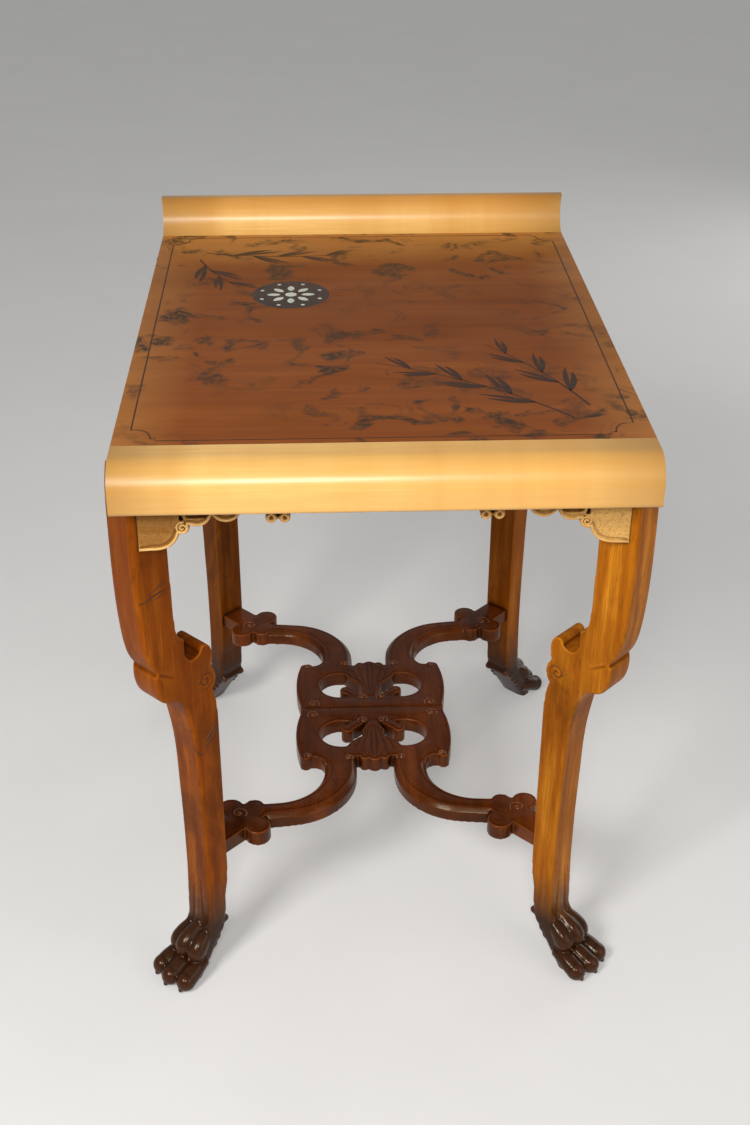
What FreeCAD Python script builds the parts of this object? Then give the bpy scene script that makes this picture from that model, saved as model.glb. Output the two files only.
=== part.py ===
import FreeCAD
import Part
import math
import os

from FreeCAD import Vector

# Driving sizes in millimetres
top_height = 730.0
top_width = 540.0
panel_length = 646.0
panel_thickness = 20.0

# Rolled ends of the top
front_roll_reach = 54.0
front_roll_drop = 51.0
front_roll_radius = 30.0
front_lip_thickness = 15.0
front_lip_radius = 5.0
front_inner_radius = 10.0
rear_roll_reach = 32.0
rear_roll_rise = 48.0
rear_cove_radius = 30.5
rear_cove_lift = 28.5
rear_edge_thickness = 11.0
rear_heel_radius = 12.0

# Loose tongues that join the rolled ends to the flat
tongue_thickness = 6.0
tongue_width = 20.0
tongue_end_margin = 30.0

# Legs: planks set on the diagonals, measured along the diagonal
leg_inset = 1.0
leg_outset = -1.0
leg_thickness = 42.0
leg_sweep = 100.0
block_edge_radius = 7.0
shank_edge_radius = 5.0

# Paw feet: three toes under three knuckles, measured from the outer face of the leg
ankle_height = 105.0
ankle_corner = 7.0
toe_radius = 12.0
toe_front = 6.5
toe_lift = 11.0
toe_spread = 42.0
toe_setback = 5.0
toe_root = 50.0
toe_root_lift = 31.0
toe_neck_radius = 11.0
knuckle_radius = 13.0
knuckle_front = 25.0
knuckle_lift = 54.0
knuckle_spread = 38.0
knuckle_fall = 4.0
tendon_radius = 4.5
tendon_inset = 3.0
tendon_lift = 88.0
tendon_spread = 25.0
claw_radius = 4.2
claw_length = 6.5
claw_lift = 9.0
spur_radius = 5.5
spur_width = 34.0
spur_lift = 66.0
spur_set = 93.0

# Stretcher
stretcher_top = 182.0
stretcher_thickness = 20.0
block_half_width = 96.0
block_bulge = 6.0
block_shoulder = 9.0
ear_radius = 8.0
ear_inset = 7.0
ear_drop = 4.0
lip_centre_radius = 9.0
lip_side_radius = 6.5
lip_side_offset = 13.0
arm_root_inner = 65.0
arm_root_outer = 24.0
arm_run = 32.0
arm_scoop_radius = 15.0
arm_edge_bevel = 6.0
end_lobe_radius = 15.5
end_lobe_offset = 24.0
end_lobe_back = 49.0
end_body_half = 17.0
end_body_back = 75.0
end_bump_radius = 11.0
end_bump_back = 71.5
end_bump_across = 5.0

# Openings pierced in the stretcher
opening_radius = 28.0
opening_x = 42.0
opening_wall = 20.5
opening_point_x = 5.0
opening_point_rise = 25.5
curl_radius = 8.0
curl_x = 34.0
curl_rise = 11.5
curl_stem = 13.0
curl_root_x = 17.0
curl_root_rise = 27.0
leaf_tip_rise = 28.0
leaf_half_width = 31.0

# Carved aprons
apron_thickness = 18.0
apron_setback = 5.0
side_apron_inset = 3.0
apron_depth = 46.0
bracket_depth = 88.0
bracket_flat = 14.0
bracket_run = 46.0
scroll_radius = 7.5
scroll_drop = 62.0
scroll_from_end = 46.0
strap_drop = 61.0
strap_from_end = 61.0
strap_half_run = 15.0
small_strap_drop = 56.5
small_strap_from_end = 90.0
small_strap_half_run = 15.0
bead_radius = 5.8
bead_drop = 52.5
bead_from_end = 135.0
bead_gap = 13.5
piercing_radius = 4.5
piercing_run = 14.0
piercing_drop = 47.5

# Hidden joinery
apron_dowel_diameter = 8.0
apron_dowel_length = 38.0
apron_dowel_high = 14.0
apron_dowel_low = 62.0
middle_dowel_diameter = 8.0
middle_dowel_length = 38.0
middle_dowel_spacing = 72.0
leg_dowel_diameter = 10.0
leg_dowel_length = 40.0
glue_block_height = 20.0
glue_block_depth = 24.0
glue_block_length = 60.0
screw_diameter = 4.0
screw_length = 30.0
screw_head_diameter = 8.0
screw_head_height = 2.6
screw_inset = 17.0

# Inlay let into the flat of the top
inlay_x = -96.0
inlay_y = 104.0
inlay_radius = 47.0
inlay_depth = 2.4
pearl_depth = 1.2
pearl_petal_count = 8
pearl_petal_length = 17.0
pearl_petal_width = 8.5
pearl_petal_ring = 21.0
pearl_centre_radius = 7.0
pearl_dot_radius = 2.4
pearl_dot_ring = 38.0

# One allowance by which every cutting tool runs past the wood
overrun = 3.0

# Leg outline as shares of the sweep and of the height
leg_block_shares = ((0.05, 1.0), (0.015, 0.965), (0.003, 0.92), (0.0, 0.86), (0.005, 0.80), (0.028, 0.74),
                    (0.065, 0.697), (0.11, 0.673), (0.178, 0.656))
leg_hip_shares = ((0.178, 0.656), (0.163, 0.637), (0.187, 0.614), (0.245, 0.598), (0.33, 0.590))
leg_cove_shares = ((0.33, 0.590), (0.45, 0.583), (0.53, 0.566), (0.58, 0.539), (0.62, 0.507),
                   (0.65, 0.47), (0.670, 0.396), (0.685, 0.32), (0.69, 0.235), (0.685, 0.18))
leg_back_low_shares = ((0.97, 0.166), (0.984, 0.186), (0.99, 0.21))
leg_back_high_shares = ((0.99, 0.44), (0.992, 0.487), (0.985, 0.541), (0.965, 0.562), (0.935, 0.576))
leg_eye_shares = ((0.935, 0.576), (0.975, 0.584), (0.99, 0.597), (0.975, 0.609), (0.938, 0.616))
leg_tip_shares = ((0.938, 0.616), (0.957, 0.630), (0.955, 0.645), (0.92, 0.659), (0.86, 0.664),
                  (0.80, 0.6585))
leg_hook_shares = ((0.80, 0.6585), (0.765, 0.651), (0.69, 0.6475), (0.61, 0.655), (0.575, 0.670),
                   (0.585, 0.693))
leg_shoulder_shares = ((0.585, 0.693), (0.535, 0.697), (0.495, 0.7055), (0.475, 0.72), (0.46, 0.76),
                       (0.455, 0.80))
leg_head_share = 0.45
leg_seat_shares = (0.40, 0.70)

# Ankle as shares of the sweep
ankle_front_share = 0.67
ankle_back_share = 0.95

# Paw sections as shares: height of the ankle height, front and back of the sweep,
# half width and corner of the leg thickness
paw_shares = ((0.77, 0.64, 0.95, 0.51, 0.20), (0.56, 0.52, 0.90, 0.53, 0.34),
              (0.33, 0.40, 0.80, 0.55, 0.38), (0.13, 0.31, 0.73, 0.53, 0.38),
              (0.0, 0.31, 0.68, 0.48, 0.32))
toe_lane_shares = (-1.0, 0.0, 1.0)
claw_fan_share = 0.4
claw_fall_share = 0.5
claw_root_share = 0.72
claw_point_share = 0.3
tendon_end_share = 0.94

# Bracket edge as shares of its run and of the rise to the scroll
bracket_edge_shares = ((0.52, 0.03), (0.67, 0.12), (0.82, 0.34), (0.92, 0.66))

# Leaf edge as shares of its half width and of its length
leaf_edge_shares = ((0.17, 0.20), (0.40, 0.40), (0.70, 0.505), (0.95, 0.60))

# Depth of the stretcher's block as a share of the way out to the leg, and where an arm
# starts to bend and ends its arc as shares of the rest
block_depth_share = 0.41
arm_bend_share = 0.153
arm_outer_shares = (0.453, 0.709)
arm_inner_shares = (0.437, 0.499)

# Where the drop of an opening leaves its round, as shares of its radius
drop_upper_shares = (0.15, 0.97)
drop_lower_shares = (0.75, -0.15)

# Glue blocks stand at this share of the half length of their apron
glue_block_share = 0.3

# Derived positions
panel_bottom = top_height - panel_thickness
half_width = top_width / 2
end_difference = front_roll_reach - rear_roll_reach
front_seam = -panel_length / 2 + end_difference / 2
rear_seam = panel_length / 2 + end_difference / 2
leg_corner_x = half_width - leg_inset
leg_corner_y = panel_length / 2 + leg_outset
leg_height = panel_bottom
ankle_front = ankle_front_share * leg_sweep
ankle_back = ankle_back_share * leg_sweep
diagonal = math.sqrt(0.5)
leg_half_slant = leg_thickness / 2 / diagonal
apron_front = leg_corner_y + leg_half_slant / 2 - apron_setback
apron_side = half_width - side_apron_inset
stretcher_bottom = stretcher_top - stretcher_thickness
stretcher_middle = stretcher_top - stretcher_thickness / 2
leg_face_inset = leg_back_low_shares[-1][0] * leg_sweep * diagonal
leg_face_x = leg_corner_x - leg_face_inset
leg_face_set = leg_corner_y - leg_face_inset
block_depth = block_depth_share * leg_face_set
arm_bend_set = block_depth + arm_bend_share * (leg_face_set - block_depth)
ear_set = block_depth - ear_drop
opening_set = block_depth - opening_wall - opening_radius
leaf_tip_set = opening_set - leaf_tip_rise


def spline(points):
    """A smooth edge through points."""
    curve = Part.BSplineCurve()
    curve.interpolate(points)
    return curve.toShape()


def line(first, last):
    return Part.LineSegment(first, last).toShape()


def arc(first, middle, last):
    return Part.Arc(first, middle, last).toShape()


def polygon(points):
    """Closed ring of straight edges."""
    return [line(points[i - 1], points[i]) for i in range(len(points))]


def prism(edges, travel):
    """A solid swept straight from a closed flat outline."""
    return Part.Face(Part.Wire(Part.__sortEdges__(edges))).extrude(travel)


def box(x0, x1, y0, y1, z0, z1):
    return Part.makeBox(x1 - x0, y1 - y0, z1 - z0, Vector(x0, y0, z0))


def upright_disc(radius, x, y, bottom, height):
    return Part.makeCylinder(radius, height, Vector(x, y, bottom), Vector(0, 0, 1))


def joined(solids):
    """One clean solid from overlapping solids."""
    return solids[0].multiFuse(solids[1:]).removeSplitter()


def cut_all(shape, tools):
    for tool in tools:
        shape = shape.cut(tool)
    return shape


def kept_solid(shape):
    """The largest solid of a shape."""
    return max(shape.Solids, key=lambda piece: piece.Volume)


def mirrored_x(shape):
    return shape.mirror(Vector(0, 0, 0), Vector(1, 0, 0))


def mirrored_y(shape):
    return shape.mirror(Vector(0, 0, 0), Vector(0, 1, 0))


# Top: flat panel, its two rolled ends and the tongues between them
def flat_panel():
    return box(-half_width, half_width, front_seam, rear_seam, panel_bottom, top_height)


def tongue_at(seam):
    reach = half_width - tongue_end_margin
    middle = panel_bottom + panel_thickness / 2
    return box(-reach, reach, seam - tongue_width / 2, seam + tongue_width / 2,
               middle - tongue_thickness / 2, middle + tongue_thickness / 2)


def front_roll_point(forward, down):
    return Vector(-half_width, front_seam - forward, top_height - down)


def front_roll_blank():
    """Strip that bends over and drops as a lip, hollow behind."""
    p = front_roll_point
    bend = front_roll_radius * (1 - diagonal)
    ease = front_lip_radius * (1 - diagonal)
    hollow = front_inner_radius * (1 - diagonal)
    inner = front_roll_reach - front_lip_thickness
    seam_top = p(0, 0)
    bend_top = p(front_roll_reach - front_roll_radius, 0)
    bend_end = p(front_roll_reach, front_roll_radius)
    lip_start = p(front_roll_reach, front_roll_drop - front_lip_radius)
    lip_end = p(front_roll_reach - front_lip_radius, front_roll_drop)
    back_low = p(inner, front_roll_drop)
    back_high = p(inner, panel_thickness + front_inner_radius)
    back_end = p(inner - front_inner_radius, panel_thickness)
    seam_low = p(0, panel_thickness)
    edges = [
        line(seam_top, bend_top),
        arc(bend_top, p(front_roll_reach - bend, bend), bend_end),
        line(bend_end, lip_start),
        arc(lip_start, p(front_roll_reach - ease, front_roll_drop - ease), lip_end),
        line(lip_end, back_low),
        line(back_low, back_high),
        arc(back_high, p(inner - hollow, panel_thickness + hollow), back_end),
        line(back_end, seam_low),
        line(seam_low, seam_top),
    ]
    return prism(edges, Vector(top_width, 0, 0))


def rear_roll_point(back, up):
    return Vector(-half_width, rear_seam + back, top_height + up)


def rear_roll_blank():
    """Strip that sweeps up with a hollow face and a flat upper edge."""
    p = rear_roll_point
    centre = -math.sqrt(rear_cove_radius ** 2 - rear_cove_lift ** 2)
    lip_rise = rear_roll_rise - rear_cove_lift
    lip_back = centre + math.sqrt(rear_cove_radius ** 2 - lip_rise ** 2)
    crest_back = lip_back + rear_edge_thickness
    ease = rear_heel_radius * (1 - diagonal)
    seam_top = p(0, 0)
    lip = p(lip_back, rear_roll_rise)
    crest = p(crest_back, rear_roll_rise)
    back = p(rear_roll_reach, rear_cove_lift)
    back_low = p(rear_roll_reach, rear_heel_radius - panel_thickness)
    heel_end = p(rear_roll_reach - rear_heel_radius, -panel_thickness)
    seam_low = p(0, -panel_thickness)
    swell = p((crest_back + rear_roll_reach + ease) / 2, (rear_roll_rise + rear_cove_lift) / 2)
    edges = [
        arc(seam_top, p(centre + rear_cove_radius, rear_cove_lift), lip),
        line(lip, crest),
        spline([crest, swell, back]),
        line(back, back_low),
        arc(back_low, p(rear_roll_reach - ease, ease - panel_thickness), heel_end),
        line(heel_end, seam_low),
        line(seam_low, seam_top),
    ]
    return prism(edges, Vector(top_width, 0, 0))


# Legs
def leg_points(shares):
    return [Vector(across * leg_sweep, -leg_thickness / 2, up * leg_height) for across, up in shares]


def matching_edges(solid, plan_edges, shifts):
    """The edges of a prism that match some edges of its outline, moved by each shift."""
    picked = []
    for plan in plan_edges:
        for shift in shifts:
            spot = plan.CenterOfMass + shift
            picked.append(min(solid.Edges, key=lambda edge: edge.CenterOfMass.distanceToPoint(spot)))
    return picked


def eased_plank(outer, inner, radius):
    """A plank whose outer edges are rounded over on both faces."""
    across = Vector(0, leg_thickness, 0)
    plank = prism(outer + inner, across)
    return plank.makeFillet(radius, matching_edges(plank, outer, (Vector(0, 0, 0), across)))


def leg_block():
    """The upper block of a leg, down to the notch above the hip."""
    outer = leg_points(leg_block_shares)
    shoulder = leg_points(leg_shoulder_shares)[-1]
    head = leg_points(((leg_head_share, 1.0),))[0]
    corner = Vector(shoulder.x, shoulder.y, outer[-1].z)
    inner = [line(outer[-1], corner), line(corner, shoulder), line(shoulder, head), line(head, outer[0])]
    return eased_plank([spline(outer)], inner, block_edge_radius)


def leg_shank():
    """The rest of a leg above the ankle: hip, hook, scroll and slim shank."""
    hip = leg_points(leg_hip_shares)
    straight_low, straight_high = leg_points((leg_back_low_shares[-1], leg_back_high_shares[0]))
    shoulder = leg_points(leg_shoulder_shares)
    seat = leg_points((leg_seat_shares,))[0]
    ankle_out = Vector(ankle_front, -leg_thickness / 2, ankle_height)
    ankle_in = Vector(ankle_back, -leg_thickness / 2, ankle_height)
    outer = [spline(hip), spline(leg_points(leg_cove_shares) + [ankle_out])]
    inner = [
        line(ankle_out, ankle_in),
        spline([ankle_in] + leg_points(leg_back_low_shares)),
        line(straight_low, straight_high),
        spline(leg_points(leg_back_high_shares)),
        spline(leg_points(leg_eye_shares)),
        spline(leg_points(leg_tip_shares)),
        spline(leg_points(leg_hook_shares)),
        spline(shoulder),
        line(shoulder[-1], seat),
        line(seat, hip[0]),
    ]
    return eased_plank(outer, inner, shank_edge_radius)


def rounded_section(front, back, half, corner, height):
    """A level rounded rectangle."""
    ease = corner * (1 - diagonal)

    def p(x, y):
        return Vector(x, y, height)

    return Part.Wire([
        line(p(front + corner, -half), p(back - corner, -half)),
        arc(p(back - corner, -half), p(back - ease, ease - half), p(back, corner - half)),
        line(p(back, corner - half), p(back, half - corner)),
        arc(p(back, half - corner), p(back - ease, half - ease), p(back - corner, half)),
        line(p(back - corner, half), p(front + corner, half)),
        arc(p(front + corner, half), p(front + ease, half - ease), p(front, half - corner)),
        line(p(front, half - corner), p(front, corner - half)),
        arc(p(front, corner - half), p(front + ease, ease - half), p(front + corner, -half)),
    ])


def paw_core():
    """The pad of the foot, swelling out of the ankle."""
    sections = [rounded_section(ankle_front, ankle_back, leg_thickness / 2, ankle_corner, ankle_height)]
    for up, front, back, half, corner in paw_shares:
        sections.append(rounded_section(front * leg_sweep, back * leg_sweep, half * leg_thickness,
                                        corner * leg_thickness, up * ankle_height))
    return Part.makeLoft(sections, True, False)


def rod(radius, first, last):
    """A round rod between two points."""
    run = last - first
    return Part.makeCylinder(radius, run.Length, first, run)


def toe(lane):
    """One toe, its claw and the knuckle above it; the lane runs from minus one to one."""
    back = abs(lane) * toe_setback
    tip = Vector(toe_front + toe_radius + back, lane * toe_spread / 2, toe_lift)
    root = Vector(toe_root + back, lane * knuckle_spread / 2, toe_root_lift)
    aim = Vector(-1, lane * claw_fan_share, -claw_fall_share)
    claw_root = Vector(tip.x, tip.y, claw_lift) + aim * (toe_radius * claw_root_share)
    claw_root.z = claw_lift
    claw = Part.makeCone(claw_radius, claw_radius * claw_point_share, claw_length, claw_root, aim)
    knuckle = Vector(knuckle_front + knuckle_radius + back, lane * knuckle_spread / 2,
                     knuckle_lift - abs(lane) * knuckle_fall)
    start = Vector(ankle_front + tendon_inset, lane * tendon_spread / 2, tendon_lift)
    run = knuckle - start
    tendon = Part.makeCone(tendon_radius, knuckle_radius * tendon_end_share, run.Length, start, run)
    return [Part.makeSphere(toe_radius, tip), rod(toe_neck_radius, root, tip), claw,
            Part.makeSphere(knuckle_radius, knuckle), tendon]


def leg_blank():
    """One leg about its own diagonal, outer face at the start of the first axis."""
    pieces = [leg_block(), leg_shank(), paw_core()]
    for lane in toe_lane_shares:
        pieces.extend(toe(lane))
    start = Vector(spur_set, -spur_width / 2, spur_lift)
    pieces.append(Part.makeCylinder(spur_radius, spur_width, start, Vector(0, 1, 0)))
    floor = box(-leg_sweep, 2 * leg_sweep, -leg_sweep, leg_sweep, -leg_sweep, 0)
    return kept_solid(joined(pieces).cut(floor))


def placed_leg(blank, side, end):
    """Set a leg on its corner, with its first axis running inwards on the diagonal."""
    turn = math.degrees(math.atan2(-end, -side))
    leg = blank.copy()
    leg.rotate(Vector(0, 0, 0), Vector(0, 0, 1), turn)
    leg.translate(Vector(side * leg_corner_x, end * leg_corner_y, 0))
    return leg


def leg_slab(side, end):
    """The straight plank a leg is cut from, for fitting the aprons."""
    slab = box(-leg_sweep, 2 * leg_sweep, -leg_thickness / 2, leg_thickness / 2, 0, leg_height)
    return placed_leg(slab, side, end)


# Stretcher
def plate(edges):
    return prism(edges, Vector(0, 0, stretcher_thickness))


def low(x, y):
    return Vector(x, y, stretcher_bottom)


def plate_disc(radius, x, y):
    return upright_disc(radius, x, y, stretcher_bottom, stretcher_thickness)


def stretcher_block():
    """Middle block of the front half, from the joint line forwards."""
    w = block_half_width
    bulge = w + block_bulge
    middle = -(block_depth + block_shoulder) / 2
    edges = [
        line(low(-w, 0), low(w, 0)),
        line(low(w, 0), low(w, -block_shoulder)),
        arc(low(w, -block_shoulder), low(bulge, middle), low(w, -block_depth)),
        line(low(w, -block_depth), low(-w, -block_depth)),
        arc(low(-w, -block_depth), low(-bulge, middle), low(-w, -block_shoulder)),
        line(low(-w, -block_shoulder), low(-w, 0)),
    ]
    pieces = [plate(edges), plate_disc(lip_centre_radius, 0, -block_depth)]
    for side in (-1, 1):
        pieces.append(plate_disc(ear_radius, side * (block_half_width - ear_inset), -ear_set))
        pieces.append(plate_disc(lip_side_radius, side * lip_side_offset, -block_depth))
    return joined(pieces)


def end_place(back, across):
    """A point near the right front leg, measured back from the leg and across the diagonal."""
    return low(leg_face_x + (across - back) * diagonal, (across + back) * diagonal - leg_face_set)


def arm_edge(root, shares):
    """One edge of an arm: a straight root, an arc that leads to the leg and a straight run."""
    start = low(root, -ear_set)
    bend = low(root, -arm_bend_set)
    finish = low(root + shares[0] * (leg_face_x - root), bend.y - shares[1] * (leg_face_set - arm_bend_set))
    turn = 2 * math.atan2(finish.x - bend.x, bend.y - finish.y)
    radius = (finish.x - bend.x) / (1 - math.cos(turn))
    middle = bend + Vector(1 - math.cos(turn / 2), -math.sin(turn / 2), 0) * radius
    far = finish + Vector(math.sin(turn), -math.cos(turn), 0) * arm_run
    return [line(start, bend), arc(bend, middle, finish), line(finish, far)], start, far


def stretcher_arm():
    """Curved arm on the right of the front half, with bevelled long edges."""
    outer, outer_start, outer_far = arm_edge(arm_root_outer, arm_outer_shares)
    inner, inner_start, inner_far = arm_edge(arm_root_inner, arm_inner_shares)
    arm = plate(outer + inner + [line(outer_start, inner_start), line(outer_far, inner_far)])
    upper = matching_edges(arm, outer + inner, (Vector(0, 0, stretcher_thickness),))
    return arm.makeChamfer(arm_edge_bevel, upper)


def arm_scoop():
    """Wood left in the hollow corner between the block and the outer side of the right arm."""
    x = arm_root_inner + arm_scoop_radius
    y = block_depth + arm_scoop_radius
    corner = box(arm_root_inner - 2 * arm_edge_bevel, x, -y, -ear_set, stretcher_bottom, stretcher_top)
    return corner.cut(plate_disc(arm_scoop_radius, x, -y))


def stretcher_end():
    """Lobed end with a square neck that butts the leg."""
    pieces = [plate(polygon([
        end_place(0, -end_body_half),
        end_place(0, end_body_half),
        end_place(end_body_back, end_body_half),
        end_place(end_body_back, -end_body_half),
    ]))]
    bump = end_place(end_bump_back, end_bump_across)
    pieces.append(plate_disc(end_bump_radius, bump.x, bump.y))
    for across in (-end_lobe_offset, end_lobe_offset):
        spot = end_place(end_lobe_back, across)
        pieces.append(plate_disc(end_lobe_radius, spot.x, spot.y))
    return joined(pieces)


def leaf(bottom, height):
    """Pointed leaf in the middle of a half."""
    length = block_depth - leaf_tip_set

    def p(across, along):
        return Vector(across * leaf_half_width, -leaf_tip_set - along * length, bottom)

    right = [p(0, 0)] + [p(across, along) for across, along in leaf_edge_shares] + [p(1, 1)]
    left = [p(0, 0)] + [p(-across, along) for across, along in leaf_edge_shares] + [p(-1, 1)]
    return prism([spline(right), line(right[-1], left[-1]), spline(left)], Vector(0, 0, height))


def opening(side):
    """Drop-shaped opening, less the curl that grows into it and the leaf left standing."""
    height = stretcher_thickness + 2 * overrun
    bottom = stretcher_bottom - overrun
    centre = Vector(side * opening_x, -opening_set, bottom)

    def rim(shares):
        return centre + Vector(-side * shares[0] * opening_radius, shares[1] * opening_radius, 0)

    point = Vector(side * opening_point_x, opening_point_rise - opening_set, bottom)
    drop = prism(polygon([point, rim(drop_upper_shares), centre, rim(drop_lower_shares)]), Vector(0, 0, height))
    hole = joined([upright_disc(opening_radius, centre.x, centre.y, bottom, height), drop])
    tip = Vector(side * curl_x, curl_rise - opening_set, bottom)
    root = Vector(side * curl_root_x, curl_root_rise - opening_set, bottom)
    aside = (root - tip).normalize().cross(Vector(0, 0, curl_stem / 2))
    curl = upright_disc(curl_radius, tip.x, tip.y, bottom, height)
    stem = prism(polygon([tip + aside, root + aside, root - aside, tip - aside]), Vector(0, 0, height))
    return cut_all(hole, [curl, stem, leaf(bottom, height)])


def stretcher_front_blank():
    right = [stretcher_arm(), arm_scoop(), stretcher_end()]
    whole = joined([stretcher_block()] + right + [mirrored_x(piece) for piece in right])
    return kept_solid(cut_all(whole, [opening(-1), opening(1)]))


# Aprons
def apron_disc(radius, x, drop):
    return Part.makeCylinder(radius, apron_thickness, Vector(x, 0, panel_bottom - drop), Vector(0, 1, 0))


def bracket(side, end):
    """Spandrel that drops beside the leg."""
    low_edge = panel_bottom - bracket_depth
    rise = bracket_depth - scroll_drop
    reach = end + leg_half_slant

    def p(x, z):
        return Vector(side * x, 0, z)

    curve = [p(end - bracket_flat, low_edge)]
    curve += [p(end - bracket_run * across, low_edge + rise * up) for across, up in bracket_edge_shares]
    top = p(end - bracket_run, panel_bottom)
    edges = [
        line(p(reach, panel_bottom), p(reach, low_edge)),
        line(p(reach, low_edge), curve[0]),
        spline(curve),
        line(curve[-1], top),
        line(top, p(reach, panel_bottom)),
    ]
    return prism(edges, Vector(0, apron_thickness, 0))


def strap(x, half_run, drop):
    """A bowed strap that hangs below the body of the apron."""
    root = panel_bottom - apron_depth

    def p(across, z):
        return Vector(x + across, 0, z)

    edges = [
        line(p(-half_run, root), p(-half_run, panel_bottom)),
        line(p(-half_run, panel_bottom), p(half_run, panel_bottom)),
        line(p(half_run, panel_bottom), p(half_run, root)),
        arc(p(half_run, root), p(0, panel_bottom - drop), p(-half_run, root)),
    ]
    return prism(edges, Vector(0, apron_thickness, 0))


def bead(x):
    """A small round bead on a short neck."""
    neck = bead_radius / 2
    stem = box(x - neck, x + neck, 0, apron_thickness, panel_bottom - bead_drop, panel_bottom)
    return [apron_disc(bead_radius, x, bead_drop), stem]


def piercing(x):
    """Rounded slot through the apron above the outer strap."""
    depth = apron_thickness + 2 * overrun
    height = panel_bottom - piercing_drop
    half = piercing_run / 2
    ends = [Part.makeCylinder(piercing_radius, depth, Vector(x + across, -overrun, height), Vector(0, 1, 0))
            for across in (-half, half)]
    slot = box(x - half, x + half, -overrun, depth - overrun, height - piercing_radius, height + piercing_radius)
    return joined(ends + [slot])


def apron_blank(end):
    """Carved apron seen from outside, before its ends are fitted to the legs."""
    solids = [box(-end, end, 0, apron_thickness, panel_bottom - apron_depth, panel_bottom)]
    for side in (-1, 1):
        solids.append(bracket(side, end))
        solids.append(apron_disc(scroll_radius, side * (end - scroll_from_end), scroll_drop))
        solids.append(strap(side * (end - strap_from_end), strap_half_run, strap_drop))
        solids.append(strap(side * (end - small_strap_from_end), small_strap_half_run, small_strap_drop))
        solids.extend(bead(side * (end - bead_from_end)))
        solids.extend(bead(side * (end - bead_from_end - bead_gap)))
    holes = [piercing(side * (end - strap_from_end)) for side in (-1, 1)]
    return cut_all(joined(solids), holes)


def front_apron_blank():
    apron = apron_blank(leg_corner_x - leg_half_slant - (leg_corner_y - apron_front))
    apron.translate(Vector(0, -apron_front, 0))
    return kept_solid(cut_all(apron, [leg_slab(-1, -1), leg_slab(1, -1)]))


def left_apron_blank():
    apron = apron_blank(leg_corner_y - leg_half_slant - (leg_corner_x - apron_side))
    apron.rotate(Vector(0, 0, 0), Vector(0, 0, 1), -90)
    apron.translate(Vector(-apron_side, 0, 0))
    return kept_solid(cut_all(apron, [leg_slab(-1, -1), leg_slab(-1, 1)]))


# Hidden joinery
def dowel(diameter, length, middle, way):
    way = way.normalize()
    return Part.makeCylinder(diameter / 2, length, middle - way * (length / 2), way)


def apron_dowel_heights():
    return panel_bottom - apron_dowel_high, panel_bottom - apron_dowel_low


def front_apron_dowels():
    y = -apron_front + apron_thickness / 2
    meet = leg_corner_x - leg_half_slant - (leg_corner_y + y)
    return [dowel(apron_dowel_diameter, apron_dowel_length, Vector(side * meet, y, z), Vector(1, 0, 0))
            for side in (-1, 1) for z in apron_dowel_heights()]


def left_apron_dowels():
    x = -apron_side + apron_thickness / 2
    meet = leg_corner_y - leg_half_slant - (leg_corner_x + x)
    return [dowel(apron_dowel_diameter, apron_dowel_length, Vector(x, end * meet, z), Vector(0, 1, 0))
            for end in (-1, 1) for z in apron_dowel_heights()]


def middle_dowels():
    return [dowel(middle_dowel_diameter, middle_dowel_length, Vector(place * middle_dowel_spacing, 0, stretcher_middle),
                  Vector(0, 1, 0)) for place in (-1, 0, 1)]


def leg_dowels():
    spot = Vector(leg_face_x, -leg_face_set, stretcher_middle)
    first = dowel(leg_dowel_diameter, leg_dowel_length, spot, Vector(1, -1, 0))
    return [first, mirrored_x(first), mirrored_y(first), mirrored_x(mirrored_y(first))]


def glue_block_and_screw(x, y, way_x, way_y):
    """Block against an apron's back face at x, y, lying along the apron, and its screw."""
    across = glue_block_depth / 2
    along = glue_block_length / 2
    middle = Vector(x + way_x * across, y + way_y * across, 0)
    half_x = across if way_x else along
    half_y = across if way_y else along
    bottom = panel_bottom - glue_block_height
    block = box(middle.x - half_x, middle.x + half_x, middle.y - half_y, middle.y + half_y, bottom, panel_bottom)
    spot = Vector(x + way_x * screw_inset, y + way_y * screw_inset, bottom)
    head = Part.makeCone(screw_head_diameter / 2, screw_diameter / 2, screw_head_height, spot, Vector(0, 0, 1))
    screw = joined([upright_disc(screw_diameter / 2, spot.x, spot.y, bottom, screw_length), head])
    return block.cut(screw), screw


def glue_blocks_and_screws():
    pairs = []
    back_x = apron_side - apron_thickness
    back_y = apron_front - apron_thickness
    for side in (-1, 1):
        for end in (-1, 1):
            pairs.append(glue_block_and_screw(side * glue_block_share * leg_corner_x, end * back_y, 0, -end))
            pairs.append(glue_block_and_screw(side * back_x, end * glue_block_share * leg_corner_y, -side, 0))
    return pairs


# Inlay
def petal(turn):
    """A pointed pearl petal, lying level with the surface."""
    half = pearl_petal_width / 2
    half_length = pearl_petal_length / 2

    def p(along, across):
        return Vector(inlay_x + pearl_petal_ring + along, inlay_y + across, top_height - pearl_depth)

    edges = [
        arc(p(-half_length, 0), p(0, half), p(half_length, 0)),
        arc(p(half_length, 0), p(0, -half), p(-half_length, 0)),
    ]
    piece = prism(edges, Vector(0, 0, pearl_depth))
    piece.rotate(Vector(inlay_x, inlay_y, 0), Vector(0, 0, 1), turn)
    return piece


def pearl_dot(turn):
    angle = math.radians(turn)
    return upright_disc(pearl_dot_radius, inlay_x + pearl_dot_ring * math.cos(angle),
                        inlay_y + pearl_dot_ring * math.sin(angle), top_height - pearl_depth, pearl_depth)


def pearl_pieces():
    step = 360 / pearl_petal_count
    pieces = [upright_disc(pearl_centre_radius, inlay_x, inlay_y, top_height - pearl_depth, pearl_depth)]
    for number in range(pearl_petal_count):
        pieces.append(petal(number * step))
        pieces.append(pearl_dot(number * step + step / 2))
    return pieces


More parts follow.
